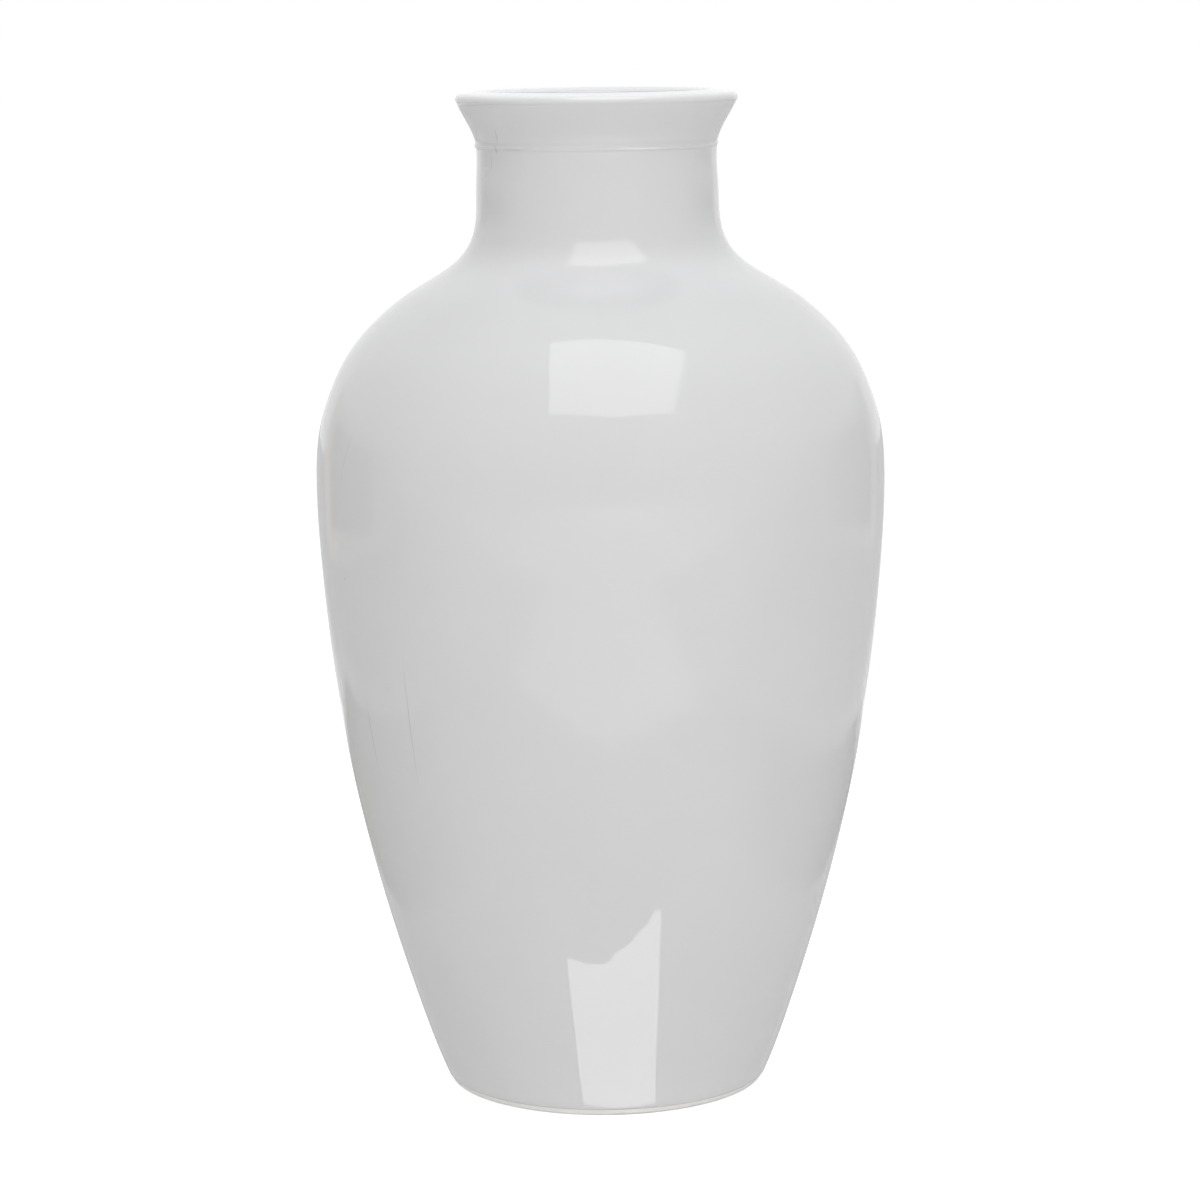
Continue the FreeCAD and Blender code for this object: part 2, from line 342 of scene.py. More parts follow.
@dataclass
class Handwork:
    """What the potter's hands leave on the wall: soft rings, a slight lean and the raised line at the neck.

    Args:
        form: sizes of the vase.
        ridge_relief: how far the raised line stands out.
        ridge_half: half its width.
        ridge_climb: how far it climbs from the front to the sides.
        ridge_wander: how far it strays up and down.
        groove_depth: depth of the shallow groove above it.
        lip_groove_depth: depth of the fine groove under the lip.
        lip_groove_drop: how far that groove lies under the lip's corner.
        lip_groove_half: half its width.
        lip_groove_ends: where it starts, is full, starts to fade and ends, in degrees from the front.
        ring_depth: half the depth of the throwing rings.
        ring_pitch: distance from one ring to the next.
        ring_ends: heights at which the rings start, are full, start to fade and end.
        calm_lip: heights between which the handwork fades out at the lip.
        lobes: (height, reach up and down, turns round the vase, depth, azimuth in degrees) of each soft swelling.
    """

    form: VaseForm
    ridge_relief: float = 0.50 * MM
    ridge_half: float = 0.798 * MM
    ridge_climb: float = 0.35 * MM
    ridge_wander: float = 0.1 * MM
    groove_depth: float = 0.12 * MM
    lip_groove_depth: float = 0.22 * MM
    lip_groove_drop: float = 1.1 * MM
    lip_groove_half: float = 0.35 * MM
    lip_groove_ends: Band = (-100, -75, -24, -14)
    ring_depth: float = 0.008 * MM
    ring_pitch: float = 7.5 * MM
    ring_ends: Band = (0.01, 0.05, 0.335, 0.35)
    calm_lip: Point = (0.368, 0.377)
    lobes: tuple[tuple[float, float, int, float, float], ...] = (
        (0.300, 0.040, 1, 0.24 * MM, 0.0), (0.360, 0.030, 1, 0.16 * MM, 180.0), (0.205, 0.060, 2, 0.10 * MM, 35.0),
        (0.110, 0.050, 3, 0.06 * MM, 80.0))

    def offsets(self, points: np.ndarray, azimuths: np.ndarray) -> np.ndarray:
        """How far the surface stands out at each point of a profile and each azimuth.

        Args:
            points: the profile's points.
            azimuths: angles about the axis, in radians.

        Returns:
            An array with a row for each point and a column for each azimuth.
        """
        height = points[:, 1]
        rest = np.zeros((len(height), len(azimuths)))
        for middle, span, turns, depth, degrees in self.lobes:
            fade = np.exp(-((height - middle) / span) ** 2)
            rest += fade[:, None] * depth * np.cos(turns * (azimuths - math.radians(degrees)))[None, :]
        climb = height[:, None] + azimuths[None, :] / (2 * math.pi) * self.ring_pitch
        rings = np.sin(2 * math.pi * climb / self.ring_pitch)
        rest += self.ring_depth * plateau(height, self.ring_ends)[:, None] * rings
        rest *= (1 - smooth_step(height, *self.calm_lip))[:, None]
        return rest + self.raised_line(height, azimuths)

    def raised_line(self, height: np.ndarray, azimuths: np.ndarray) -> np.ndarray:
        """Relief of the line of slip round the neck, which wanders a little and has a shallow groove above it.

        Args:
            height: heights of the profile's points.
            azimuths: angles about the axis, in radians.

        Returns:
            An array with a row for each height and a column for each azimuth.
        """
        front = azimuths + math.pi / 2
        middle = self.form.ridge_height + self.ridge_climb * (1 - np.cos(front)) + self.ridge_wander * np.sin(5 * front)
        away = (height[:, None] - middle[None, :]) / self.ridge_half
        strength = 0.72 + 0.28 * np.cos(3 * (front - math.radians(38)))
        line = self.ridge_relief * np.clip(1 - away ** 2, 0, 1) ** 1.5
        groove = self.groove_depth * np.exp(-((away - 2.3) / 0.9) ** 2) * (0.6 - 0.4 * np.sin(front))
        return (line - groove) * strength[None, :] - self.lip_groove(height, front)

    def lip_groove(self, height: np.ndarray, front: np.ndarray) -> np.ndarray:
        """Depth of the fine groove that a tool left under the lip, on the left of the front.

        Args:
            height: heights of the profile's points.
            front: angles about the axis, in radians from the front.

        Returns:
            An array with a row for each height and a column for each azimuth.
        """
        middle = self.form.corner_centre[1] - self.lip_groove_drop
        band = np.exp(-((height - middle) / self.lip_groove_half) ** 2)
        turned = np.degrees((front + math.pi) % (2 * math.pi) - math.pi)
        return self.lip_groove_depth * band[:, None] * (0.15 + plateau(turned, self.lip_groove_ends))[None, :]


class TurnedMesh:
    """Mesh of a profile turned about the vase's axis."""

    def __init__(self, segments: int = 288) -> None:
        """Sets the number of steps round the axis."""
        self.segments = segments
        self.azimuths = np.linspace(0, 2 * math.pi, segments, endpoint=False)

    def make(self, name: str, profile: Profile, offsets: np.ndarray | None = None) -> bpy.types.Object:
        """Makes the closed body of a profile. Ends on the axis become poles, and other ends are joined.

        Args:
            name: name of the piece.
            profile: its profile, with the solid on the left of its way up.
            offsets: how far each point stands out, with a row for each point and a column for each azimuth.

        Returns:
            The piece, smooth shaded.
        """
        points, normals = profile.points, profile.normals
        on_axis = points[0, 0] < 1e-7 and points[-1, 0] < 1e-7
        rows = slice(1, -1) if on_axis else slice(None)
        ring, out = points[rows], normals[rows]
        shift = np.zeros((len(ring), self.segments)) if offsets is None else offsets[rows]
        radius = ring[:, 0, None] + out[:, 0, None] * shift
        height = ring[:, 1, None] + out[:, 1, None] * shift
        x, y = radius * np.cos(self.azimuths), radius * np.sin(self.azimuths)
        vertices = np.stack([x, y, np.broadcast_to(height, x.shape)], axis=-1).reshape(-1, 3)
        count = len(ring)
        index = np.arange(count * self.segments).reshape(count, self.segments)
        turned = np.roll(index, -1, axis=1)
        low = slice(0, count - 1) if on_axis else slice(0, count)
        upper, upper_turned = np.roll(index, -1, axis=0), np.roll(turned, -1, axis=0)
        quads = np.stack([index[low], turned[low], upper_turned[low], upper[low]], axis=-1).reshape(-1, 4)
        faces = quads.tolist()
        if on_axis:
            first, last = len(vertices), len(vertices) + 1
            vertices = np.vstack([vertices, (0, 0, points[0, 1]), (0, 0, points[-1, 1])])
            faces += [[first, b, a] for a, b in zip(index[0].tolist(), turned[0].tolist())]
            faces += [[last, a, b] for a, b in zip(index[-1].tolist(), turned[-1].tolist())]
        mesh = bpy.data.meshes.new(name)
        mesh.from_pydata(vertices.tolist(), [], faces)
        mesh.shade_smooth()
        piece = bpy.data.objects.new(name, mesh)
        bpy.context.scene.collection.objects.link(piece)
        return piece


class Board:
    """Node tree of a material, a world or a group, with short ways to add and link its nodes."""

    def __init__(self, tree: bpy.types.NodeTree) -> None:
        """Keeps the tree."""
        self.tree = tree

    def add(self, kind: str, inputs: Inputs | None = None, **settings: object) -> bpy.types.Node:
        """Adds a node.

        Args:
            kind: name of the node's class, without its first part ShaderNode.
            inputs: value or output socket for each input.
            settings: properties of the node.

        Returns:
            The node.
        """
        node = self.tree.nodes.new("ShaderNode" + kind)
        for key, value in settings.items():
            setattr(node, key, value)
        self.feed(node, inputs or {})
        return node

    def feed(self, node: bpy.types.Node, inputs: Inputs) -> None:
        """Sets or links inputs of a node.

        Args:
            node: the node.
            inputs: value or output socket for each input, by its name or number.
        """
        for key, value in inputs.items():
            if isinstance(value, Socket):
                self.tree.links.new(value, node.inputs[key])
            else:
                node.inputs[key].default_value = value

    def math(self, operation: str, first: object, second: object = 0.0, clamp: bool = False) -> Socket:
        """Result of a sum, product or other operation on two values."""
        return self.add("Math", {0: first, 1: second}, operation=operation, use_clamp=clamp).outputs[0]

    def ramp(self, value: Socket, low: float, high: float, start: object = 0.0, end: object = 1.0) -> Socket:
        """Value taken from start to end as the input goes from low to high, with soft ends."""
        places = {"Value": value, "From Min": low, "From Max": high, "To Min": start, "To Max": end}
        return self.add("MapRange", places, interpolation_type="SMOOTHSTEP").outputs[0]

    def blend(self, share: Socket, first: object, second: object) -> Socket:
        """Colour between a first colour and a second one, by the share of the second."""
        return self.add("Mix", {"Factor": share, 6: first, 7: second}, data_type="RGBA", blend_type="MIX").outputs[2]

    def effect(self, group: bpy.types.NodeTree, place: Socket, **values: object) -> Socket:
        """Result of an effect's node group at a place, with a value for each of its other inputs."""
        return self.add("Group", {"Vector": place, **values}, node_tree=group).outputs[0]

    def bump(self, height: Socket) -> Socket:
        """Direction of a surface with a relief, whose height is in metres."""
        return self.add("Bump", {"Strength": 1.0, "Distance": 1.0, "Height": height}).outputs[0]


def blank_material(name: str) -> tuple[bpy.types.Material, Board]:
    """Makes a material.

    Args:
        name: its name.

    Returns:
        The material, and the board of its nodes.
    """
    material = bpy.data.materials.new(name)
    material.use_nodes = True
    return material, Board(material.node_tree)


class Effects:
    """Surface effects that several finishes share, each a node group."""

    def __init__(self) -> None:
        """Builds every group once."""
        self.mottle = self.build_mottle()
        self.specks = self.build_specks()
        self.ripple = self.build_ripple()
        self.band = self.build_band()
        self.mark = self.build_mark()

    @staticmethod
    def start(name: str, result: str, **values: object) -> tuple[Board, dict[str, Socket], bpy.types.Node]:
        """Makes an empty group that works at a place.

        Args:
            name: the group's name.
            result: name of its output.
            values: first value of each input beside the place, which is a vector where it has three numbers.

        Returns:
            The group's board, its inputs as sockets by name, and its output node.
        """
        tree = bpy.data.node_groups.new(name, "ShaderNodeTree")
        for key, value in {"Vector": (0, 0, 0), **values}.items():
            kind = "NodeSocketVector" if isinstance(value, tuple) else "NodeSocketFloat"
            tree.interface.new_socket(key, in_out="INPUT", socket_type=kind).default_value = value
        tree.interface.new_socket(result, in_out="OUTPUT", socket_type="NodeSocketFloat")
        entry, exit_node = tree.nodes.new("NodeGroupInput"), tree.nodes.new("NodeGroupOutput")
        return Board(tree), {socket.name: socket for socket in entry.outputs if socket.name}, exit_node

    def build_mottle(self) -> bpy.types.NodeTree:
        """Soft clouds, as glaze has where it lies a little thicker or thinner.

        Returns:
            The group.
        """
        board, given, out = self.start("soft_mottle", "Mask", Size=0.03, Contrast=1.0)
        scale = board.math("DIVIDE", 1.0, given["Size"])
        clouds = board.add("TexNoise", {"Vector": given["Vector"], "Scale": scale, "Detail": 3.0, "Roughness": 0.55})
        centred = board.math("SUBTRACT", clouds.outputs[0], 0.5)
        spread = board.math("MULTIPLY", centred, given["Contrast"])
        board.feed(out, {"Mask": board.math("ADD", spread, 0.5, clamp=True)})
        return board.tree

    def build_specks(self) -> bpy.types.NodeTree:
        """Sparse round specks, as iron in the clay or dust in the kiln leaves them.

        Returns:
            The group.
        """
        board, given, out = self.start("kiln_specks", "Mask", Cell=0.01, Share=0.2, Radius=0.04)
        scale = board.math("DIVIDE", 1.0, given["Cell"])
        cells = board.add("TexVoronoi", {"Vector": given["Vector"], "Scale": scale})
        chance = board.add("SeparateColor", {"Color": cells.outputs["Color"]})
        chosen = board.math("LESS_THAN", chance.outputs[0], given["Share"])
        radius = board.math("MULTIPLY", given["Radius"], board.math("ADD", chance.outputs[1], 0.35))
        nearness = board.math("SUBTRACT", 1.0, board.math("DIVIDE", cells.outputs["Distance"], radius), clamp=True)
        board.feed(out, {"Mask": board.math("MULTIPLY", chosen, board.ramp(nearness, 0.0, 0.5))})
        return board.tree

    def build_ripple(self) -> bpy.types.NodeTree:
        """Fine waviness of a fired surface, with faint throwing lines.

        Returns:
            The group.
        """
        board, given, out = self.start("fired_ripple", "Height", Size=0.004, Lines=0.3)
        scale = board.math("DIVIDE", 1.0, given["Size"])
        wide_scale, ring_scale = board.math("MULTIPLY", scale, 0.17), board.math("MULTIPLY", scale, 0.12)
        peel = board.add("TexNoise", {"Vector": given["Vector"], "Scale": scale, "Detail": 1.5, "Roughness": 0.4})
        wide = board.add("TexNoise", {"Vector": given["Vector"], "Scale": wide_scale, "Detail": 1.0})
        rings = board.add("TexWave", {"Vector": given["Vector"], "Scale": ring_scale, "Distortion": 2.2, "Detail": 1.0,
                                      "Detail Scale": 0.6}, bands_direction="Z")
        lines = board.math("MULTIPLY", rings.outputs["Fac"], given["Lines"])
        clouds = board.math("ADD", peel.outputs[0], board.math("MULTIPLY", wide.outputs[0], 1.6))
        board.feed(out, {"Height": board.math("ADD", clouds, lines)})
        return board.tree

    def build_band(self) -> bpy.types.NodeTree:
        """Ring round the vase at one height, which fades above and below with a wandering edge.

        Returns:
            The group.
        """
        board, given, out = self.start("height_band", "Mask", Height=0.1, Below=0.01, Above=0.01, Wander=0.0)
        drift = board.add("TexNoise", {"Vector": given["Vector"], "Scale": 38.0, "Detail": 2.0})
        shift = board.math("MULTIPLY", board.math("SUBTRACT", drift.outputs[0], 0.5), given["Wander"])
        level = board.add("SeparateXYZ", {0: given["Vector"]}).outputs[2]
        distance = board.math("SUBTRACT", board.math("ADD", level, shift), given["Height"])
        above = board.math("DIVIDE", board.math("MAXIMUM", distance, 0.0), given["Above"])
        below = board.math("DIVIDE", board.math("MINIMUM", distance, 0.0), given["Below"])
        share = board.math("SUBTRACT", 1.0, board.math("SUBTRACT", above, below), clamp=True)
        board.feed(out, {"Mask": board.ramp(share, 0.0, 1.0)})
        return board.tree

    def build_mark(self) -> bpy.types.NodeTree:
        """Small rounded mark at one place on the wall, such as a bead or a run of glaze, or a patch of painted
        highlight or painted shade.

        Returns:
            The group.
        """
        board, given, out = self.start("glaze_mark", "Mask", Place=(0, 0, 0), Turn=(0, 0, 0), Size=(1, 1, 1))
        local = board.add("Mapping", {"Vector": given["Vector"], "Location": given["Place"], "Rotation": given["Turn"],
                                      "Scale": given["Size"]}, vector_type="TEXTURE")
        distance = board.add("VectorMath", {0: local.outputs[0]}, operation="LENGTH").outputs["Value"]
        board.feed(out, {"Mask": board.ramp(distance, 0.0, 1.0, 1.0, 0.0)})
        return board.tree


@dataclass(frozen=True)
class Mark:
    """One small mark of the glaze, or a patch of painted highlight or painted shade on it.

    Args:
        azimuth: where it lies round the vase, in degrees.
        height: where it lies over the floor.
        radius: distance of its middle from the axis.
        half_width: half its width.
        half_height: half its length.
        tint: how much of its shade it has.
        tilt: how far it turns on the wall, in degrees.
        lean: how far it leans out with the wall, in degrees.
        relief: how far it stands out.
        shade: its colour.
        depth: how far it reaches into and out of the wall.
    """

    azimuth: float
    height: float
    radius: float
    half_width: float
    half_height: float
    tint: float
    tilt: float = 0
    lean: float = 0
    relief: float = 0.0
    shade: Colour = (0.45, 0.44, 0.41, 1.0)
    depth: float = 8 * MM

    def values(self) -> dict[str, Place]:
        """Where the mark is and how large.

        Returns:
            Its place, turn and size, by the names of its node group's inputs.
        """
        angle = math.radians(self.azimuth)
        centre = (self.radius * math.cos(angle), self.radius * math.sin(angle), self.height)
        turn = Euler((math.radians(self.tilt), math.radians(self.lean), angle), "XYZ")
        return {"Place": centre, "Turn": tuple(turn), "Size": (self.depth, self.half_width, self.half_height)}


class Coat(Enum):
    """The coats of glaze, each with the name of its material."""

    OUTSIDE = "outer_glaze_finish"
    LINING = "inner_glaze_finish"
    UNDERSIDE = "foot_glaze_finish"


@dataclass(frozen=True)
class GlazeFinish:
    """Clear feldspar glaze over white porcelain.

    Args:
        coat: which coat it is.
        colour: its usual colour.
        thick_colour: its colour in the clouds where it lies thicker.
        pooled_and_shade_colour: its colour where it has pooled, also used for the painted shade above the raised line.
        painted_light_colour: near-white colour of its painted highlights and painted light.
        speck_colour: colour of its specks.
        roughness: its least roughness.
        roughness_spread: how much rougher it gets in places.
        ripple_height: height of its fine waves.
        bands: (height, reach below, reach above, share) of each ring where it has pooled; the ring above the raised
            line also holds painted shade.
        painted_light_bands: the same, for each ring of painted light, such as the painted highlight along the lip's
            crest.
        marks: its small marks.
    """

    coat: Coat
    colour: Colour = (0.746, 0.743, 0.744, 1.0)
    thick_colour: Colour = (0.718, 0.717, 0.716, 1.0)
    # Darker colour of pooled glaze, also used for the painted shade above the raised line.
    pooled_and_shade_colour: Colour = (0.60, 0.60, 0.57, 1.0)
    # Near white, for the painted highlights and painted light laid over the glaze.
    painted_light_colour: Colour = (0.92, 0.92, 0.93, 1.0)
    speck_colour: Colour = (0.42, 0.35, 0.27, 1.0)
    roughness: float = 0.03
    roughness_spread: float = 0.03
    ripple_height: float = 0.012 * MM
    bands: tuple[Band, ...] = ()
    painted_light_bands: tuple[Band, ...] = ()
    marks: tuple[Mark, ...] = ()

    def material(self, effects: Effects) -> bpy.types.Material:
        """Makes the glaze's material.

        Args:
            effects: the shared node groups.

        Returns:
            The material.
        """
        material, board = blank_material(self.coat.value)
        place = board.add("TexCoord").outputs["Object"]
        clouds = board.effect(effects.mottle, place, Size=0.06, Contrast=1.6)
        fine = board.effect(effects.mottle, place, Size=0.009, Contrast=1.2)
        colour = board.blend(clouds, self.colour, self.thick_colour)
        # Darker rings of pooled glaze; the one above the raised line is also painted shade in its groove.
        rings = [(band, self.pooled_and_shade_colour) for band in self.bands]
        # Near-white rings of painted light: painted highlights and painted brightening laid into the colour.
        rings += [(band, self.painted_light_colour) for band in self.painted_light_bands]
        for (height, below, above, amount), shade in rings:
            ring = board.effect(effects.band, place, Height=height, Below=below, Above=above, Wander=1.2 * MM)
            colour = board.blend(board.math("MULTIPLY", ring, amount), colour, shade)
        specks = board.effect(effects.specks, place, Cell=0.016, Share=0.14, Radius=0.032)
        colour = board.blend(board.math("MULTIPLY", specks, 0.5), colour, self.speck_colour)
        ripple = board.effect(effects.ripple, place, Size=4.5 * MM, Lines=0.25)
        relief = board.math("MULTIPLY", ripple, self.ripple_height)
        for mark in self.marks:
            mask = board.effect(effects.mark, place, **mark.values())
            relief = board.math("ADD", relief, board.math("MULTIPLY", mask, mark.relief))
            colour = board.blend(board.math("MULTIPLY", mask, mark.tint), colour, mark.shade)
        rough = board.ramp(fine, 0.0, 1.0, self.roughness, self.roughness + self.roughness_spread)
        board.feed(board.tree.nodes["Principled BSDF"], {
            "Base Color": colour, "Roughness": rough, "Normal": board.bump(relief), "IOR": 1.52})
        return material


@dataclass(frozen=True)
class ClayFinish:
    """Bare fired porcelain, dry and finely gritty, with a warm halo where the glaze ends.

    Args:
        name: name of its material.
        colour: its usual colour.
        dark_colour: its colour in the darker clouds.
        halo_colour: colour of the halo.
        speck_colour: colour of its specks.
        roughness: its middle roughness.
        grit: height of its grain.
        halo_height: height of the halo over the floor.
    """

    name: str = "bare_clay_finish"
    colour: Colour = (0.90, 0.89, 0.87, 1.0)
    dark_colour: Colour = (0.86, 0.84, 0.81, 1.0)
    halo_colour: Colour = (0.86, 0.84, 0.80, 1.0)
    speck_colour: Colour = (0.30, 0.22, 0.15, 1.0)
    roughness: float = 0.72
    grit: float = 0.06 * MM
    halo_height: float = 2.0 * MM

    def material(self, effects: Effects) -> bpy.types.Material:
        """Makes the clay's material.

        Args:
            effects: the shared node groups.

        Returns:
            The material.
        """
        material, board = blank_material(self.name)
        place = board.add("TexCoord").outputs["Object"]
        clouds = board.effect(effects.mottle, place, Size=0.018, Contrast=1.8)
        grain = board.effect(effects.mottle, place, Size=1.1 * MM, Contrast=2.2)
        colour = board.blend(clouds, self.colour, self.dark_colour)
        halo = board.effect(effects.band, place, Height=self.halo_height, Below=1.1 * MM, Above=1.5 * MM,
                            Wander=0.9 * MM)
        colour = board.blend(board.math("MULTIPLY", halo, 0.20), colour, self.halo_colour)
        specks = board.effect(effects.specks, place, Cell=0.005, Share=0.2, Radius=0.06)
        colour = board.blend(board.math("MULTIPLY", specks, 0.6), colour, self.speck_colour)
        rough = board.ramp(grain, 0.0, 1.0, self.roughness - 0.08, self.roughness + 0.12)
        board.feed(board.tree.nodes["Principled BSDF"], {
            "Base Color": colour, "Roughness": rough, "Normal": board.bump(board.math("MULTIPLY", grain, self.grit))})
        return material


class Glazes:
    """The three coats of glaze, each a closed skin on the clay."""

    def __init__(self, form: VaseForm, handwork: Handwork, effects: Effects) -> None:
        """Keeps what the coats are made from."""
        self.form, self.handwork, self.effects = form, handwork, effects
        self.lathe = TurnedMesh()

    def outer(self) -> bpy.types.Object:
        """Makes the coat outside, from its lower edge above the foot's rim to the crest of the lip.

        Returns:
            The coat.
        """
        form = self.form
        outside = form.outside()
        start = int(np.argmax(outside.points[:, 1] > form.bare_height))
        outside = Profile(outside.points[start:], outside.normals[start:])
        normal, half = outside.normals[0], form.glaze / 2
        tangent = np.array([-normal[1], normal[0]])
        middle = outside.points[0] - normal * half
        edge = [middle - (normal * math.cos(turn) + tangent * math.sin(turn)) * half
                for turn in np.linspace(math.pi, 0, 7)[1:-1]]
        rolled = Profile(np.array(edge), np.tile(normal, (len(edge), 1)))
        whole = rolled.before(outside).before(outside.thinned(6).sunk(form.glaze).backward())
        offsets = np.zeros((len(whole.points), self.lathe.segments))
        shown = slice(len(edge), len(edge) + len(outside.points))
        offsets[shown] = self.handwork.offsets(outside.points, self.lathe.azimuths)
        return self.lathe.make("outer_glaze_skin", whole, offsets)

    def lining(self) -> bpy.types.Object:
        """Makes the coat inside, from the crest of the lip to the floor.

        Returns:
            The coat.
        """
        lining = self.form.lining()
        clay = lining.sunk(self.form.glaze).thinned(4).backward()
        clay.points[0, 0] = 0
        return self.lathe.make("inner_glaze_skin", clay.before(lining))

    def underside(self) -> bpy.types.Object:
        """Makes the coat in the recess under the foot.

        Returns:
            The coat.
        """
        clay = self.form.recess()
        shown = clay.sunk(-self.form.glaze)
        return self.lathe.make("foot_glaze_skin", shown.before(clay.thinned(3).backward()))

    def marks(self) -> tuple[Mark, ...]:
        """Flaws of the outer coat: the crease and runs at the neck's left and three lines; and along the ridge, a
        painted highlight and a painted dark line of shade.

        Returns:
            The marks.
        """
        neck, belly, ridge = self.form.narrow_radius, self.form.belly_radius, self.form.ridge_height
        return (
            Mark(-142.0, 0.3640, 1.02 * neck, 0.5 * MM, 5.0 * MM, 0.35, tilt=-10, lean=16, relief=0.16 * MM),
            Mark(-144.2, 0.3592, neck, 1.3 * MM, 2.2 * MM, 0.30, relief=0.55 * MM),
            Mark(-149.5, 0.3545, neck, 0.55 * MM, 4.0 * MM, 0.45, tilt=-6, relief=0.18 * MM),
            Mark(-155.3, 0.3506, neck, 0.9 * MM, 2.0 * MM, 0.25, tilt=-10, relief=0.55 * MM),
            Mark(-134.0, 0.1540, 0.944 * belly, 0.40 * MM, 33 * MM, 0.45, lean=8, relief=0.07 * MM),
            Mark(-148.7, 0.1437, 0.930 * belly, 0.40 * MM, 17 * MM, 0.45, tilt=2, lean=9, relief=-0.07 * MM),
            Mark(-150.5, 0.2490, 0.990 * belly, 0.35 * MM, 17 * MM, 0.35, tilt=-20, lean=-8, relief=0.05 * MM),
            # Painted highlight: a near-white line along the right of the raised line.
            Mark(-69.0, ridge + 0.25 * MM, neck, 14 * MM, 0.45 * MM, 0.75, shade=(0.97, 0.97, 0.96, 1.0)),
            # Painted shade: a darker line along the left of the raised line.
            Mark(-132.0, ridge - 0.1 * MM, neck, 11 * MM, 0.4 * MM, 0.4))

    def build(self) -> None:
        """Builds the coats in place of their solids, and dresses them."""
        ridge, root = self.form.ridge_height, self.form.root_height
        # Painted highlight along the lip's crest, laid on the outer coat and on the lining.
        crest = (0.3794, 2.4 * MM, 3 * MM, 0.8)
        # First ring: pooled glaze and painted shade in the shallow groove above the raised line.
        outer_bands = ((ridge + 1.7 * MM, 0.9 * MM, 1.4 * MM, 0.18), (root, 5 * MM, 9 * MM, 0.03),
                       (3.0 * MM, 1.2 * MM, 3.5 * MM, 0.12))
        # Painted light on the shoulder under the neck's root, with the crest's painted highlight.
        outer_painted_light = ((root - 10 * MM, 14 * MM, 10 * MM, 0.3), crest)
        coats = (
            (self.outer(), "outer_glaze",
             GlazeFinish(Coat.OUTSIDE, marks=self.marks(), bands=outer_bands, painted_light_bands=outer_painted_light)),
            (self.lining(), "inner_glaze",
             GlazeFinish(Coat.LINING, roughness=0.08, bands=((15 * MM, 2 * MM, 9 * MM, 0.5),), painted_light_bands=(crest,))),
            (self.underside(), "foot_glaze", GlazeFinish(Coat.UNDERSIDE, roughness=0.1)))
        for piece, node, finish in coats:
            piece.data.materials.append(finish.material(self.effects))
            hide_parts(node)
            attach(piece, "root")
            low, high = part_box(node)
            log.info("%s: %d faces, for %s of %.1f mm", piece.name, len(piece.data.polygons), node, (high - low).z / MM)


class ClayBody:
    """The five thrown sections and the slip between them, which keep their solids."""

    sections = ("base_section", "lower_body_section", "upper_body_section", "neck_section", "mouth_section")
    seams = ("base_slip_seam", "body_slip_seam", "shoulder_slip_seam", "mouth_slip_seam")

    def __init__(self, nodes: dict[str, bpy.types.Object], effects: Effects) -> None:
        """Keeps the solids."""
        self.nodes, self.effects = nodes, effects

    def dress(self) -> None:
        """Gives the solids their finishes."""
        clay = ClayFinish().material(self.effects)
        slip = ClayFinish(name="slip_finish", colour=(0.66, 0.63, 0.57, 1.0), dark_colour=(0.58, 0.53, 0.46, 1.0),
                          roughness=0.8, grit=0.1 * MM).material(self.effects)
        for names, material in ((self.sections, clay), (self.seams, slip)):
            for name in names:
                mesh = self.nodes[name].data
                mesh.materials.clear()
                mesh.materials.append(material)
                log.info("%s: dressed with %s", name, material.name)


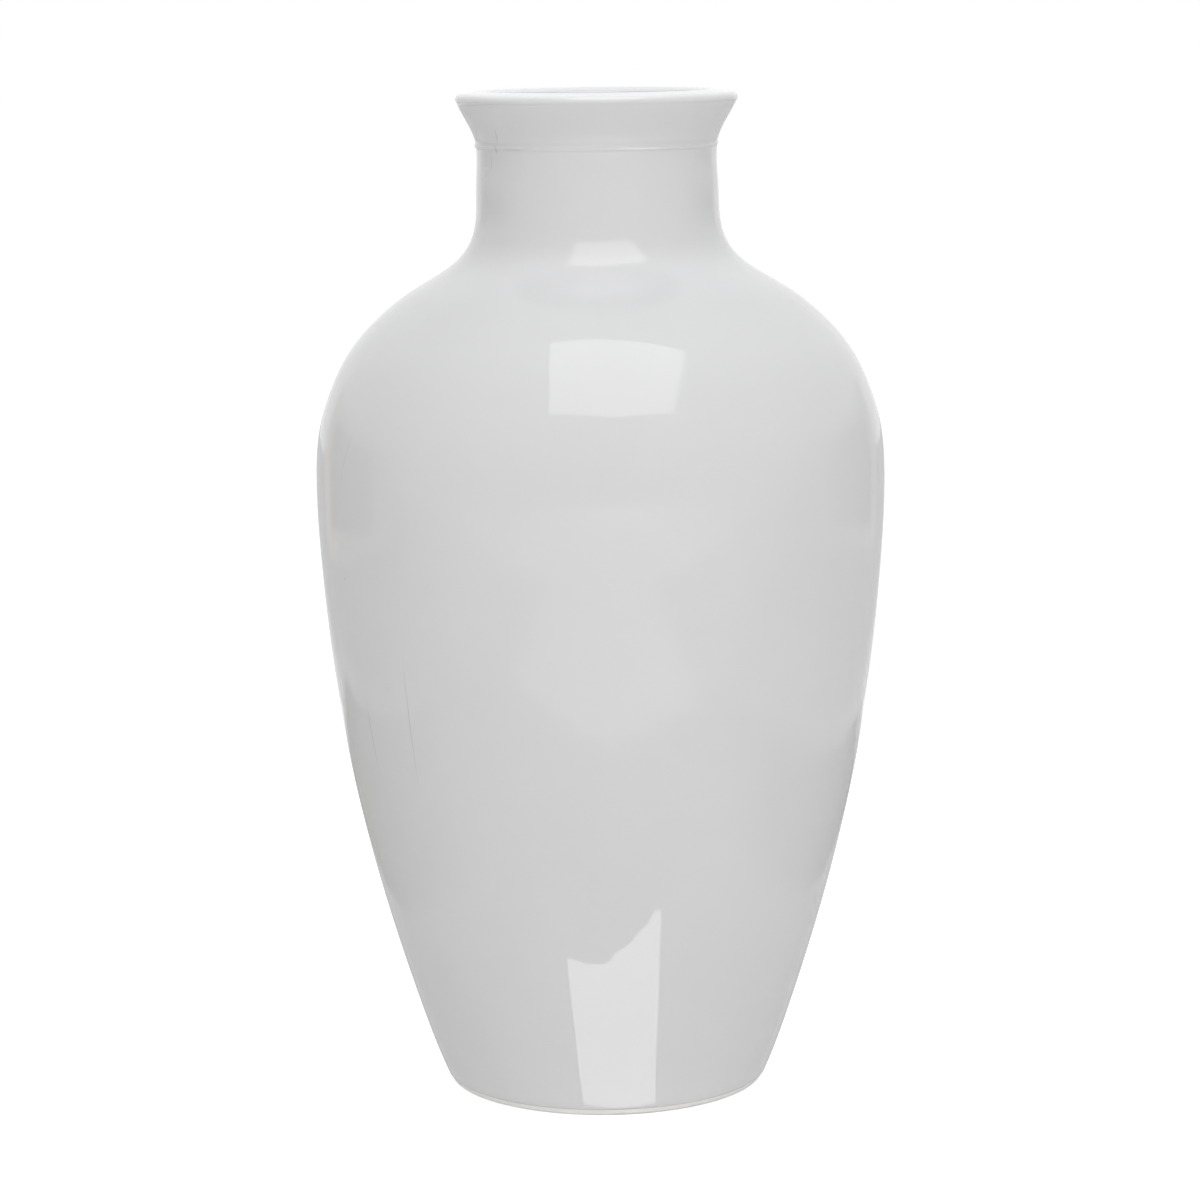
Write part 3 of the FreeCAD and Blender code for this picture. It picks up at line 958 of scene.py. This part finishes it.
@dataclass
class Studio:
    """Pale floor, soft light and the camera at the photograph's angle. A level of 1 is white.

    Args:
        lamps: (name, place, width and height, power in watts, colour) of each lamp.
        layer: step in height from one lying card to the next.
        strip: corners of the bright strip in front of the foot.
        panel: corners of the bright panel over the camera's side.
        table: corners of the grey table.
        bounces: (name, radius, layer, level) of the round cards that light the foot.
        floor_cards: (inner edge, near edge, level) of the cards beside the table, from the lowest.
        table_cards: (scale, level) of the cards that make up the table, from the lowest.
        table_ends: (name, corners, level, colour) of the darker ends of the table.
        walls: (name, side, near level, far level, colour) of the upright cards.
    """

    floor_half: float = 14.0
    floor_colour: Colour = (0.86, 0.86, 0.86, 1)
    floor_glow: float = 0.56
    ambient: float = 0.53
    camera_place: Place = (-0.000735, -1.3984, 0.41496)
    camera_pitch: float = 9.29
    camera_roll: float = -0.64
    camera_lens: float = 110.9
    lamp_target: Place = (0.0, 0.0, 0.2)
    lamps: tuple[tuple[str, Place, Point, float, Place], ...] = (
        ("front_fill", (0.35, -2.3, 0.55), (1.8, 1.6), 15.7, (1, 1, 1)),
        ("top_fill", (0.05, -0.1, 1.9), (1.8, 1.8), 13.2, (0.94, 0.97, 1.0)))
    layer: float = 0.1 * MM
    strip: tuple[Point, ...] = (
        (-0.042, -0.143), (-0.006, -0.143), (0.021, -0.153), (0.063, -0.169), (0.070, -0.166), (0.045, -0.111),
        (0.020, -0.062), (-0.010, -0.065), (-0.024, -0.101))
    strip_level: float = 3.3
    panel: tuple[Point, ...] = (
        (-0.232, -0.140), (0.10, -0.157), (0.41, -0.145), (0.58, -0.66), (0.766, -1.22), (0.13, -1.39),
        (-0.52, -1.26), (-0.35, -0.66))
    panel_height: float = 1.2
    panel_level: float = 2.75
    table: tuple[Point, ...] = (
        (-0.44, -0.43), (-0.15, -0.41), (0.0, -0.37), (0.15, -0.38), (0.36, -0.35), (0.43, -0.21), (0.45, 0.0),
        (0.43, 0.20), (0.40, 0.40), (0.34, 0.55), (-0.50, 0.55), (-0.52, 0.22), (-0.52, 0.09), (-0.48, -0.2))
    bounces: tuple[tuple[str, float, int, float], ...] = (
        ("wide", 0.140, 9, 0.02), ("foot", 0.085, 10, 0.05), ("rim", 0.069, 11, 0.06))
    floor_reach: float = 3.0
    floor_cards: tuple[Place, ...] = ((0.30, -0.80, 0.86), (0.40, -0.35, 0.74), (0.47, -0.02, 0.68))
    table_cards: tuple[Point, ...] = ((1.06, 0.80), (1.0, 0.70), (0.94, 0.62))
    table_ends: tuple[tuple[str, tuple[Point, ...], float, Colour], ...] = (
        ("left", ((-0.47, -0.12), (-0.20, -0.10), (-0.16, 0.5), (-0.47, 0.5)), 0.46, (1, 0.98, 0.94, 1)),
        ("right", ((0.22, -0.12), (0.41, -0.16), (0.37, 0.45), (0.18, 0.45)), 0.44, WHITE))
    ceiling_half: float = 2.2
    ceiling_height: float = 2.4
    ceiling_level: float = 0.95
    walls: tuple[tuple[str, int, float, float, Colour], ...] = (
        ("left", -1, 0.62, 0.86, (1, 0.96, 0.92, 1)), ("right", 1, 0.6, 0.8, WHITE))

    @staticmethod
    def seen_directly(board: Board) -> Socket:
        """Tells the rays that show a surface as it is from those that gather its light.

        Args:
            board: the node tree to add to.

        Returns:
            1 for rays of the camera, of reflections and of glass, and 0 for the others.
        """
        path = board.add("LightPath").outputs
        pair = board.math("MAXIMUM", path["Is Camera Ray"], path["Is Glossy Ray"])
        return board.math("MAXIMUM", pair, path["Is Transmission Ray"])

    def world(self) -> None:
        """White surroundings where they are seen, and a plain level of light from them elsewhere."""
        world = bpy.data.worlds.new("studio_world")
        world.use_nodes = True
        bpy.context.scene.world = world
        board = Board(world.node_tree)
        level = board.tree.nodes["Background"]
        board.feed(level, {"Color": WHITE, "Strength": self.ambient})
        seen = board.add("Background", {"Color": WHITE, "Strength": 1.0})
        mixed = board.add("MixShader", {0: self.seen_directly(board), 1: level.outputs[0], 2: seen.outputs[0]})
        board.feed(board.tree.nodes["World Output"], {"Surface": mixed.outputs[0]})

    @staticmethod
    def square(half: float, height: float) -> list[Place]:
        """Corners of a level square about the vase's axis."""
        return [(-half, -half, height), (half, -half, height), (half, half, height), (-half, half, height)]

    @staticmethod
    def sheet(name: str, corners: list[Place]) -> tuple[bpy.types.Object, Board]:
        """Adds a flat piece with a blank material.

        Args:
            name: its name.
            corners: its corners.

        Returns:
            The piece, and the board of its material.
        """
        mesh = bpy.data.meshes.new(name)
        mesh.from_pydata(corners, [], [tuple(range(len(corners)))])
        piece = bpy.data.objects.new(name, mesh)
        bpy.context.scene.collection.objects.link(piece)
        material, board = blank_material(name + "_finish")
        board.tree.nodes.remove(board.tree.nodes["Principled BSDF"])
        mesh.materials.append(material)
        return piece, board

    def floor(self) -> None:
        """Large pale floor, topped up to white where it is seen, so that it keeps the soft shadow."""
        floor, board = self.sheet("studio_floor", self.square(self.floor_half, 0))
        matt = board.add("BsdfDiffuse", {"Color": self.floor_colour, "Roughness": 0.0})
        strength = board.math("MULTIPLY", self.seen_directly(board), self.floor_glow)
        glow = board.add("Emission", {"Color": WHITE, "Strength": strength})
        both = board.add("AddShader", {0: matt.outputs[0], 1: glow.outputs[0]})
        board.feed(board.tree.nodes["Material Output"], {"Surface": both.outputs[0]})

    def lamp(self, name: str, place: Place, size: Point, power: float, tint: Place) -> None:
        """Adds a soft rectangular lamp that isn't seen in reflections.

        Args:
            name: its name.
            place: where its middle is.
            size: its width and height.
            power: its power in watts.
            tint: its colour.
        """
        data = bpy.data.lights.new(name, "AREA")
        data.shape, data.energy = "RECTANGLE", power
        data.size, data.size_y = size
        data.color = tint
        lamp = bpy.data.objects.new(name, data)
        bpy.context.scene.collection.objects.link(lamp)
        aim = (Vector(self.lamp_target) - Vector(place)).to_track_quat("-Z", "Y")
        lamp.matrix_world = Matrix.Translation(place) @ aim.to_matrix().to_4x4()
        lamp.visible_camera = lamp.visible_glossy = False

    def card(self, name: str, corners: list[Place], level: float, tint: Colour = WHITE, lights: bool = False) -> None:
        """Adds a card that is seen only in reflections, or that only adds to the light from the floor.

        Args:
            name: its name.
            corners: its corners.
            level: how bright it is.
            tint: its colour.
            lights: whether it adds light and is seen in nothing.
        """
        card, board = self.sheet(name, corners)
        shader = board.add("Emission", {"Color": tint, "Strength": level}).outputs[0]
        if lights:
            clear = board.add("BsdfTransparent").outputs[0]
            shader = board.add("AddShader", {0: shader, 1: clear}).outputs[0]
        board.feed(board.tree.nodes["Material Output"], {"Surface": shader})
        card.visible_camera = card.visible_transmission = card.visible_shadow = False
        card.visible_diffuse, card.visible_glossy = lights, not lights

    def lying(self, corners: Iterable[Point], rank: int) -> list[Place]:
        """Corners of a card that lies on the floor, in one of its thin layers."""
        return [(x, y, rank * self.layer) for x, y in corners]

    @staticmethod
    def upright(side: int, distance: float, ends: Point, heights: Point) -> list[Place]:
        """Corners of an upright card beside the vase.

        Args:
            side: 1 for the right of the picture and -1 for its left.
            distance: how far it stands from the vase's axis.
            ends: directions of its two upright edges, in degrees from the camera's side.
            heights: heights of its lower and upper edges.

        Returns:
            The corners.
        """
        low, high = heights
        turns = [math.radians(end) for end in ends]
        feet = [(side * distance * math.sin(turn), -distance * math.cos(turn)) for turn in turns]
        return [(*feet[0], low), (*feet[1], low), (*feet[1], high), (*feet[0], high)]

    def camera(self) -> None:
        """Puts the camera at the photograph's angle."""
        data = bpy.data.cameras.new("studio_camera")
        data.sensor_width, data.lens = 36.0, self.camera_lens
        camera = bpy.data.objects.new("studio_camera", data)
        bpy.context.scene.collection.objects.link(camera)
        tilt = Matrix.Rotation(math.radians(90 - self.camera_pitch), 4, "X")
        roll = Matrix.Rotation(math.radians(self.camera_roll), 4, "Z")
        camera.matrix_world = Matrix.Translation(self.camera_place) @ tilt @ roll
        bpy.context.scene.camera = camera

    def lying_cards(self) -> None:
        """Adds the cards on the floor: round the foot, beside the table, the table itself and the strip."""
        for name, radius, rank, level in self.bounces:
            turns = np.linspace(0, 2 * math.pi, 49)[:-1]
            rim = [(radius * math.cos(turn), radius * math.sin(turn)) for turn in turns]
            self.card(name + "_bounce_card", self.lying(rim, rank), level, lights=True)
        far = self.floor_reach
        for rank, (inner, near, level) in enumerate(self.floor_cards):
            for name, side in (("left", -1), ("right", 1)):
                corners = [(side * inner, near), (side * far, near), (side * far, far), (side * inner, far)]
                self.card(f"{name}_floor_card_{rank}", self.lying(corners, 1 + rank), level)
        for rank, (scale, level) in enumerate(self.table_cards):
            corners = [(x * scale, y * scale) for x, y in self.table]
            self.card(f"table_card_{rank}", self.lying(corners, 4 + rank), level)
        for name, corners, level, tint in self.table_ends:
            self.card(name + "_table_card", self.lying(corners, 7), level, tint)
        self.card("low_strip_card", self.lying(self.strip, 8), self.strip_level)

    def raised_cards(self) -> None:
        """Adds the panel, with a dimmer one just over it for its soft right edge, the ceiling and the sides."""
        self.card("panel_card", [(x, y, self.panel_height) for x, y in self.panel], self.panel_level)
        wider = [(x * 1.06 if x > 0.3 else x, y, self.panel_height + 2 * MM) for x, y in self.panel]
        self.card("panel_edge_card", wider, 2.0)
        self.card("ceiling_card", self.square(self.ceiling_half, self.ceiling_height), self.ceiling_level)
        for name, side, near, far, tint in self.walls:
            self.card(name + "_card", self.upright(side, 0.95, (98, 134), (0.07, 0.33)), near, tint)
            self.card(name + "_wide_card", self.upright(side, 1.05, (88, 142), (0.03, 0.40)), far, tint)

    def build(self) -> None:
        """Builds the whole studio."""
        bpy.context.scene.view_settings.view_transform = "Standard"
        self.camera()
        self.world()
        self.floor()
        for lamp in self.lamps:
            self.lamp(*lamp)
        self.lying_cards()
        self.raised_cards()
        log.info("studio: floor, world, fill, cards and camera")


def main() -> None:
    """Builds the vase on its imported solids, and the studio."""
    logging.basicConfig(level=logging.INFO, format="%(name)s: %(message)s")
    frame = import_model()
    Studio().build()
    effects = Effects()
    form = VaseForm()
    Glazes(form, Handwork(form), effects).build()
    ClayBody(frame["nodes"], effects).dress()


if __name__ == "__main__":
    main()
